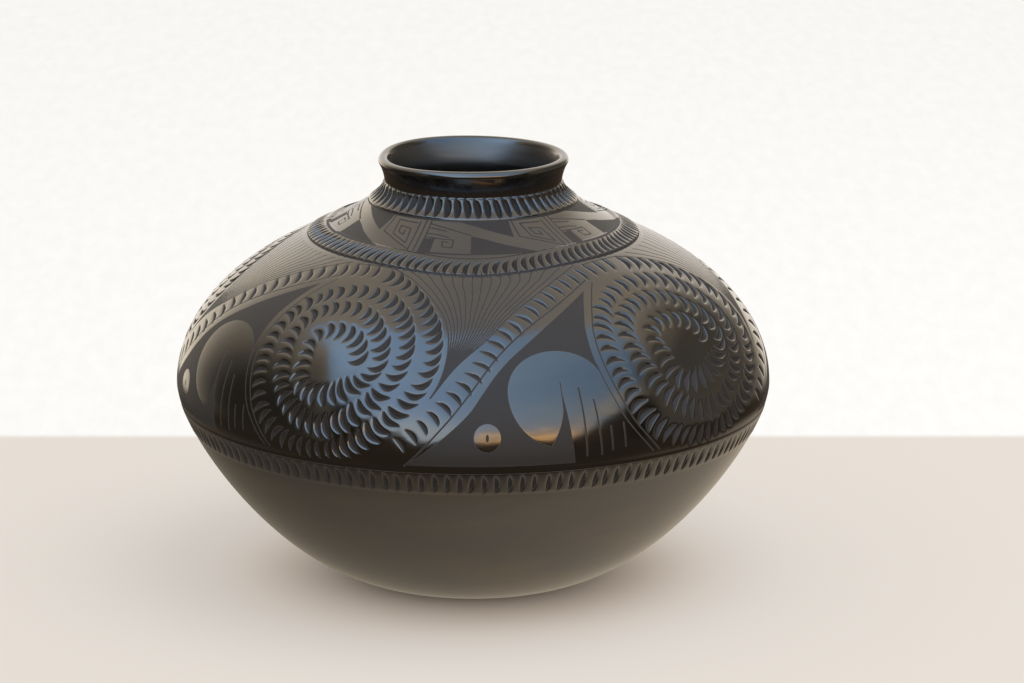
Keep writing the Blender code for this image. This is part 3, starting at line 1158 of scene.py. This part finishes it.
class Signal:
    """A number on a node's socket, whose operators add the Math nodes they need."""

    def __init__(self, nodes: Nodes, socket: bpy.types.NodeSocket) -> None:
        """Wraps a socket of the given node tree."""
        self.nodes = nodes
        self.socket = socket

    def math(self, operation: str, *values: Signal | float) -> Signal:
        """Adds a Math node over the given values."""
        node = self.nodes.add("ShaderNodeMath", {"operation": operation}, *values)
        return Signal(self.nodes, node.outputs[0])

    def __add__(self, other: Signal | float) -> Signal:
        """Sum."""
        return self.math("ADD", self, other)

    def __sub__(self, other: Signal | float) -> Signal:
        """Difference."""
        return self.math("SUBTRACT", self, other)

    def __mul__(self, other: Signal | float) -> Signal:
        """Product."""
        return self.math("MULTIPLY", self, other)

    def __radd__(self, other: float) -> Signal:
        """Sum with a number on the left."""
        return self.math("ADD", other, self)

    def __rsub__(self, other: float) -> Signal:
        """Difference from a number on the left."""
        return self.math("SUBTRACT", other, self)

    def rise(self, low: float, high: float) -> Signal:
        """Rises smoothly from 0 at low to 1 at high."""
        settings = {"interpolation_type": "SMOOTHSTEP"}
        node = self.nodes.add("ShaderNodeMapRange", settings, self, low, high, 0.0, 1.0)
        return Signal(self.nodes, node.outputs[0])


class Nodes:
    """A node tree, with one method that adds any node."""

    def __init__(self, tree: bpy.types.NodeTree) -> None:
        """Clears the tree."""
        self.tree = tree
        tree.nodes.clear()

    def add(self, kind: str, settings: dict, *values: object, **named: object) -> bpy.types.Node:
        """Adds a node.

        Args:
            kind: the node's type.
            settings: its own settings, set before its sockets.
            values: what its first sockets take, in order; None leaves one as it is.
            named: what other sockets take, by name with underscores for spaces.

        Returns:
            The node.
        """
        node = self.tree.nodes.new(kind)
        for name, value in settings.items():
            setattr(node, name, value)
        pairs = list(zip(node.inputs, values))
        pairs += [(node.inputs[name.replace("_", " ")], value) for name, value in named.items()]
        for socket, value in pairs:
            self.feed(socket, value)
        return node

    def feed(self, socket: bpy.types.NodeSocket, value: object) -> None:
        """Links a signal or socket to a socket, or sets a plain value; None leaves it."""
        if isinstance(value, Signal):
            self.tree.links.new(value.socket, socket)
        elif isinstance(value, bpy.types.NodeSocket):
            self.tree.links.new(value, socket)
        elif value is not None:
            socket.default_value = value

    def number(self, node: bpy.types.Node, output: int | str = 0) -> Signal:
        """Wraps one of a node's outputs."""
        return Signal(self, node.outputs[output])

    def scaled(self, colour: object, factor: Signal) -> bpy.types.NodeSocket:
        """Brightens or darkens a colour, a socket or four numbers, by a factor."""
        start = colour if isinstance(colour, bpy.types.NodeSocket) else colour[:3]
        node = self.add("ShaderNodeVectorMath", {"operation": "SCALE"}, start, Scale=factor)
        return node.outputs["Vector"]

    def mixed(self, share: Signal | float, first: object, second: object) -> bpy.types.NodeSocket:
        """Mixes two colours, each a socket or four numbers."""
        node = self.add("ShaderNodeMix", {"data_type": "RGBA"})
        for index, value in ((0, share), (6, first), (7, second)):
            self.feed(node.inputs[index], value)
        return node.outputs[2]

    def noise(self, place: bpy.types.NodeSocket, stretch: tuple, scale: float,
              detail: float) -> Signal:
        """Noise over stretched coordinates."""
        mapped = self.add("ShaderNodeMapping", {}, place, Scale=stretch)
        noise = self.add("ShaderNodeTexNoise", {}, mapped.outputs["Vector"], Scale=scale,
                         Detail=detail)
        return self.number(noise, "Fac")

    def length(self, vector: bpy.types.NodeSocket) -> Signal:
        """Length of a vector."""
        node = self.add("ShaderNodeVectorMath", {"operation": "LENGTH"}, vector)
        return self.number(node, "Value")

    def axes(self, vector: bpy.types.NodeSocket) -> tuple[Signal, ...]:
        """The three numbers of a vector."""
        split = self.add("ShaderNodeSeparateXYZ", {}, vector)
        return tuple(self.number(split, axis) for axis in ("X", "Y", "Z"))


@dataclass(frozen=True)
class Finish:
    """Smoke-fired clay: burnished to a graphite lustre, matte where it was scraped."""

    name: str
    polished: Colour = (0.178, 0.176, 0.178, 1.0)
    scraped: Colour = (0.030, 0.0262, 0.0255, 1.0)
    haze: Colour = (0.215, 0.200, 0.180, 1.0)
    gloss: float = 0.10
    gloss_spread: float = 0.08
    scraped_roughness: float = 0.55
    edge_softness: float = 0.10
    haze_share: float = 0.9
    inside_gloss: float = 0.16
    inside_spread: float = 0.2
    bump_strength: float = 0.8
    stroke_depth: float = 0.000016
    grain_depth: float = 0.00006

    def material(self) -> bpy.types.Material:
        """Builds the material once and returns it."""
        made = bpy.data.materials.get(self.name)
        if made is not None:
            return made
        made = bpy.data.materials.new(self.name)
        made.use_nodes = True
        nodes = Nodes(made.node_tree)
        place = nodes.add("ShaderNodeTexCoord", {}).outputs["Object"]
        attribute = nodes.add("ShaderNodeAttribute", {"attribute_name": "matte"})
        depth = nodes.number(attribute, "Fac")
        matte = depth.rise(-self.edge_softness, self.edge_softness)
        inside = 1.0 - depth.rise(*INSIDE_FADE)
        strokes = nodes.noise(place, (0.06, 0.06, 1.0), 700.0, 3.0)
        wide = nodes.noise(place, (0.35, 0.35, 1.3), 42.0, 5.0)
        grain = nodes.noise(place, (1.0, 1.0, 1.0), 2600.0, 2.0)
        polish = self.gloss + (strokes * wide) * (self.gloss_spread * 2.0)
        polish = polish + inside * (strokes * self.inside_spread + self.inside_gloss)
        roughness = polish + matte * (self.scraped_roughness - polish)
        hazed = nodes.mixed(wide.rise(0.38, 0.70) * self.haze_share, self.polished, self.haze)
        colour = nodes.mixed(matte, hazed, self.scraped)
        rough_height = matte * grain * self.grain_depth
        rough_height = rough_height + (1.0 - matte) * strokes * self.stroke_depth
        bump = nodes.add("ShaderNodeBump", {}, Strength=self.bump_strength, Distance=1.0,
                         Height=rough_height)
        shader = nodes.add("ShaderNodeBsdfPrincipled", {}, Base_Color=colour,
                           Metallic=1.0 - matte, Roughness=roughness,
                           Normal=bump.outputs["Normal"])
        nodes.add("ShaderNodeOutputMaterial", {}, shader.outputs["BSDF"])
        return made


@dataclass(frozen=True)
class Studio:
    """Pale floor, soft sky in front, pale wall behind and the photograph's camera."""

    focal_pixels: float = 5000.0
    image_width: float = 1024.0
    sensor: float = 36.0
    pitch: float = 14.01
    camera_distance: float = 2.531
    aim_height: float = 0.1189
    axis_pixel: float = 473.2
    floor_size: float = 12.0
    backdrop: Colour = (0.955, 0.945, 0.925, 1.0)
    floor_colour: Colour = (0.70, 0.65, 0.60, 1.0)
    # Warm tint of the floor round the foot: painted warm shade where the jar's shadow falls
    floor_painted_shade: Colour = (0.73, 0.625, 0.535, 1.0)
    floor_far: Colour = (0.87, 0.86, 0.84, 1.0)
    far_edge: float = 0.257
    far_blur: float = 0.006
    evenness: float = 0.6
    board_edge: float = -0.228
    board_blur: float = 0.012
    board_reach: float = 0.31
    board_fade: float = 0.09
    board_back: float = 0.08
    # Glow of the board that only the clay's gloss sees: painted reflection of a board, shaded on
    # the left and lit on the right
    board_shaded_glow: Colour = (0.17, 0.145, 0.110, 1.0)
    board_lit_glow: Colour = (0.58, 0.49, 0.38, 1.0)
    soft_white: Colour = (0.96, 0.94, 0.91, 1.0)
    zenith: Colour = (0.70, 1.02, 1.46, 1.0)
    low_sky: Colour = (1.12, 1.32, 1.52, 1.0)
    sunset: Colour = (2.6, 1.50, 0.62, 1.0)
    streak: Colour = (0.95, 0.78, 0.58, 1.0)
    wall: Colour = (1.13, 0.99, 0.79, 1.0)
    wall_overhead: Colour = (1.04, 0.975, 0.90, 1.0)
    dusk: Colour = (0.080, 0.060, 0.042, 1.0)
    lamp_size: float = 1.6
    lamp_energy: float = 14.0
    lamp_place: tuple[float, float, float] = (0.55, -0.3, 1.8)
    lamp_tilt: tuple[float, float, float] = (9.0, 17.0, 0.0)

    def camera(self) -> None:
        """Makes the camera, level with the horizon and shifted as the photograph is framed."""
        data = bpy.data.cameras.new("camera")
        data.sensor_width = self.sensor
        data.lens = self.focal_pixels / self.image_width * self.sensor
        data.shift_x = 0.5 - self.axis_pixel / self.image_width
        data.clip_start = 0.05
        data.clip_end = 50.0
        camera = bpy.data.objects.new("camera", data)
        pitch = math.radians(self.pitch)
        camera.location = (0.0, -self.camera_distance * math.cos(pitch),
                           self.aim_height + self.camera_distance * math.sin(pitch))
        camera.rotation_euler = (math.pi / 2 - pitch, 0.0, 0.0)
        bpy.context.scene.collection.objects.link(camera)
        bpy.context.scene.camera = camera

    def step(self, value: Signal, edge: float, blur: float) -> Signal:
        """Steps from 0 to 1 at an edge, blurred by so much to either side of it."""
        return value.rise(edge - blur, edge + blur)

    def floor(self) -> None:
        """Makes the floor.

        The camera and the light see a pale board, with a painted warm shade round the foot, that
        turns white behind the jar. The clay's gloss sees instead a short glowing board, painted
        dim on the left and bright on the right as the light falls on it, and the world past it.
        """
        half = self.floor_size / 2
        mesh = bpy.data.meshes.new("floor")
        mesh.from_pydata([(-half, -half, 0.0), (half, -half, 0.0), (half, half, 0.0),
                          (-half, half, 0.0)], [], [(0, 1, 2, 3)])
        floor = bpy.data.objects.new("floor", mesh)
        bpy.context.scene.collection.objects.link(floor)
        material = bpy.data.materials.new("floor")
        material.use_nodes = True
        nodes = Nodes(material.node_tree)
        place = nodes.add("ShaderNodeTexCoord", {}).outputs["Object"]
        right, away, _ = nodes.axes(place)
        moved = nodes.add("ShaderNodeMapping", {}, place, (0.0, -self.board_back, 0.0))
        length = nodes.length(moved.outputs["Vector"])
        reach = 1.0 - length.rise(self.board_reach - self.board_fade, self.board_reach)
        board = self.step(away, self.board_edge, self.board_blur) * reach
        # The board glows for glossy rays only: a painted reflection, darker on the left and
        # brighter on the right
        glow = nodes.mixed(right.rise(-0.30, 0.26), self.board_shaded_glow, self.board_lit_glow)
        seen = nodes.add("ShaderNodeEmission", {}, glow)
        clear = nodes.add("ShaderNodeBsdfTransparent", {})
        mirrored = nodes.add("ShaderNodeMixShader", {}, board, clear.outputs["BSDF"],
                             seen.outputs["Emission"])
        rough = 0.95 + nodes.noise(place, (1.0, 0.26, 1.0), 110.0, 4.0) * 0.1
        far = self.step(away, self.far_edge, self.far_blur)
        # Near the foot the board turns to a warmer tint: painted warm shade round the jar, laid
        # over its real shadow
        foot_distance = nodes.length(place)
        board_colour = nodes.mixed(foot_distance.rise(0.07, 0.15), self.floor_painted_shade,
                                   self.floor_colour)
        colour = nodes.mixed(far, board_colour, nodes.scaled(self.floor_far, rough))
        lit = nodes.add("ShaderNodeBsdfDiffuse", {}, colour)
        even = nodes.add("ShaderNodeEmission", {}, colour, 1.1)
        path = nodes.add("ShaderNodeLightPath", {})
        clear_of_foot = foot_distance.rise(0.035, 0.14)
        share = nodes.number(path, "Is Camera Ray") * clear_of_foot * self.evenness
        solid = nodes.add("ShaderNodeMixShader", {}, share, lit.outputs["BSDF"],
                          even.outputs["Emission"])
        shader = nodes.add("ShaderNodeMixShader", {}, nodes.number(path, "Is Glossy Ray"),
                           solid.outputs["Shader"], mirrored.outputs["Shader"])
        nodes.add("ShaderNodeOutputMaterial", {}, shader.outputs["Shader"])
        mesh.materials.append(material)

    def world(self) -> None:
        """Paints the surroundings by direction.

        The camera sees a plain backdrop and the light a soft white. The clay's gloss sees
        a sky with a low sunset in front, a pale wall overhead and behind, and dusk below.
        """
        world = bpy.data.worlds.new("studio")
        bpy.context.scene.world = world
        world.use_nodes = True
        nodes = Nodes(world.node_tree)
        direction = nodes.add("ShaderNodeTexCoord", {}).outputs["Generated"]
        right, away, up = nodes.axes(direction)
        cloud = nodes.noise(direction, (1.0, 1.0, 5.0), 4.0, 5.0) - 0.5
        left = 0.0 - right
        aside = left.math("MAXIMUM", left, right - 0.12)
        height = up - aside.rise(0.45, 0.85) * 0.45 + cloud * 0.06
        sky = nodes.mixed(up.rise(0.05, 0.65), self.low_sky, self.zenith)
        sky = nodes.scaled(sky, 0.88 - right * 0.45)
        centred = right.rise(-0.08, 0.10) * (1.0 - right.rise(0.45, 0.75))
        streaks = (cloud + 0.04).rise(-0.03, 0.12) * (1.0 - (height + cloud).rise(0.20, 0.42))
        clouded = nodes.mixed(streaks * right.rise(-0.08, 0.10), sky, self.streak)
        low_light = centred * (1.0 - (height + cloud * 0.5).rise(0.02, 0.14))
        low = nodes.mixed(low_light, clouded, self.sunset)
        open_sky = height.rise(-0.075, 0.0) * (1.0 - (left - up * 0.77).rise(0.33, 0.43) * 0.88)
        front = nodes.mixed(open_sky, self.dusk, low)
        beside = right.math("ABSOLUTE", right)
        wall = nodes.mixed(beside.rise(0.10, 0.50), self.wall_overhead, self.wall)
        wall = nodes.scaled(wall, (beside * 0.5 + 0.80) * (away.rise(0.58, 0.90) * 0.65 + 0.62))
        eave = 1.0 - (away - right * right * 1.05).rise(-0.13, -0.05)
        open_left = 1.0 - (left + away * 0.27).rise(0.62, 0.70)
        open_right = 1.0 - (right + away * 0.8).rise(0.66, 0.82)
        high = nodes.mixed(eave * open_left * open_right, wall, front)
        left_shade = 1.0 - left.rise(0.48, 0.98) * 0.93
        right_shade = 1.0 - (right + away * 0.35).rise(0.62, 0.86) * 0.78
        shaded = nodes.scaled(high, left_shade * right_shade)
        everything = nodes.mixed(up.rise(-0.24, -0.16), self.dusk, shaded)
        path = nodes.add("ShaderNodeLightPath", {})
        lit = nodes.mixed(nodes.number(path, "Is Glossy Ray"), self.soft_white, everything)
        colour = nodes.mixed(nodes.number(path, "Is Camera Ray"), lit, self.backdrop)
        shader = nodes.add("ShaderNodeBackground", {}, colour)
        nodes.add("ShaderNodeOutputWorld", {}, shader.outputs["Background"])

    def lamp(self) -> None:
        """Hangs one large soft lamp over the jar, unseen by the clay's own gloss."""
        data = bpy.data.lights.new("overhead", "AREA")
        data.shape = "DISK"
        data.size = self.lamp_size
        data.energy = self.lamp_energy
        lamp = bpy.data.objects.new("overhead", data)
        lamp.location = self.lamp_place
        lamp.rotation_euler = [math.radians(tilt) for tilt in self.lamp_tilt]
        lamp.visible_glossy = False
        bpy.context.scene.collection.objects.link(lamp)

    def build(self) -> None:
        """Sets the whole studio and the plain view transform."""
        self.camera()
        self.floor()
        self.world()
        self.lamp()
        bpy.context.scene.view_settings.view_transform = "Standard"


@dataclass
class Olla:
    """The whole jar: its members from the foot up, and the carving that they carry."""

    wall: Wall = field(default_factory=lambda: Wall(Outline()))
    whorls: Laying = Laying(4, 11.1, 39.0)
    frieze: Laying = Laying(5, 5.2)
    wall_columns: int = 2000
    collar_columns: int = 1600
    neck_columns: int = 900
    belly_rows: int = 97
    shoulder_rows: int = 178
    collar_rows: int = 81
    neck_rows: int = 60

    def ornaments(self) -> list:
        """Everything carved in the wall, from the border up."""
        wall = self.wall
        collar = wall.shoulder_seam
        whorl = Whorl(self.whorls)
        return [
            NotchedRing(wall.lower_seam + 2.3, 11.0, 0.25, 150,
                        Notch(11.6, 2.1, 1.7, 3.0, 0.0, 0.5), -2.0, 3, edge=2.2, lowered=0.9),
            RingLine(133.6, 0.16, 0.1),
            whorl,
            SlantingBand(self.whorls),
            Fan(self.whorls),
            DiscPanel(self.whorls, whorl.edge),
            NotchedRing(collar + 3.0, 12.0, 1.0, 108,
                        Notch(12.0, 2.4, 3.0, 2.6, 0.1, 0.5), 168.0, 5, dip=5.6,
                        lowered=1.4, groove=0.45),
            Frieze(self.frieze),
            RingLine(285.8, 0.45, 0.15),
            NotchedRing(wall.neck_seam + 1.8, 11.2, 0.9, 60,
                        Notch(12.8, 3.5, 2.4, 2.8, 0.2, 0.6), 8.0, 9, lowered=-0.7),
        ]

    def carved(self, rows: np.ndarray, columns: int) -> Relief:
        """Relief of a stretch of the wall with every ornament carved in it."""
        relief = Relief(self.wall, rows, columns)
        for ornament in self.ornaments():
            ornament.carve(relief)
        return relief

    def build(self) -> list[bpy.types.Object]:
        """Builds every member, from the foot up."""
        wall = self.wall
        burnished = Finish("burnished clay")
        carved = Finish("carved clay")
        belly = np.linspace(wall.lower_seam, wall.belly_seam, self.belly_rows)
        shoulder = np.linspace(wall.belly_seam, wall.shoulder_seam, self.shoulder_rows)
        broad = self.carved(np.concatenate([belly, shoulder[1:]]), self.wall_columns)
        collar = self.carved(np.linspace(wall.shoulder_seam, wall.neck_seam, self.collar_rows),
                             self.collar_columns)
        neck = self.carved(np.linspace(wall.neck_seam, wall.top, self.neck_rows),
                           self.neck_columns)
        pieces = BaseBowl(wall, "base_bowl", Slot.BURNISHED, burnished).build()
        pieces += LowerWall(wall, "lower_wall", Slot.BURNISHED, burnished).build()
        for node, start, end, sectors, relief in (
                ("belly_wall", wall.lower_seam, wall.belly_seam, 4, broad),
                ("shoulder_wall", wall.belly_seam, wall.shoulder_seam, 4, broad),
                ("shoulder_collar", wall.shoulder_seam, wall.neck_seam, 2, collar)):
            coil = CarvedCoil(wall, node, Slot.CARVED, carved, start=start, end=end,
                              sectors=sectors)
            pieces += coil.build(relief)
        pieces += NeckAndLip(wall, "neck_and_lip", Slot.BURNISHED, burnished).build(neck)
        return pieces


def main() -> None:
    """Loads the frame, builds the studio and the jar."""
    logging.basicConfig(level=logging.INFO, format="%(message)s")
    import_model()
    Studio().build()
    Olla().build()


if __name__ == "__main__":
    main()
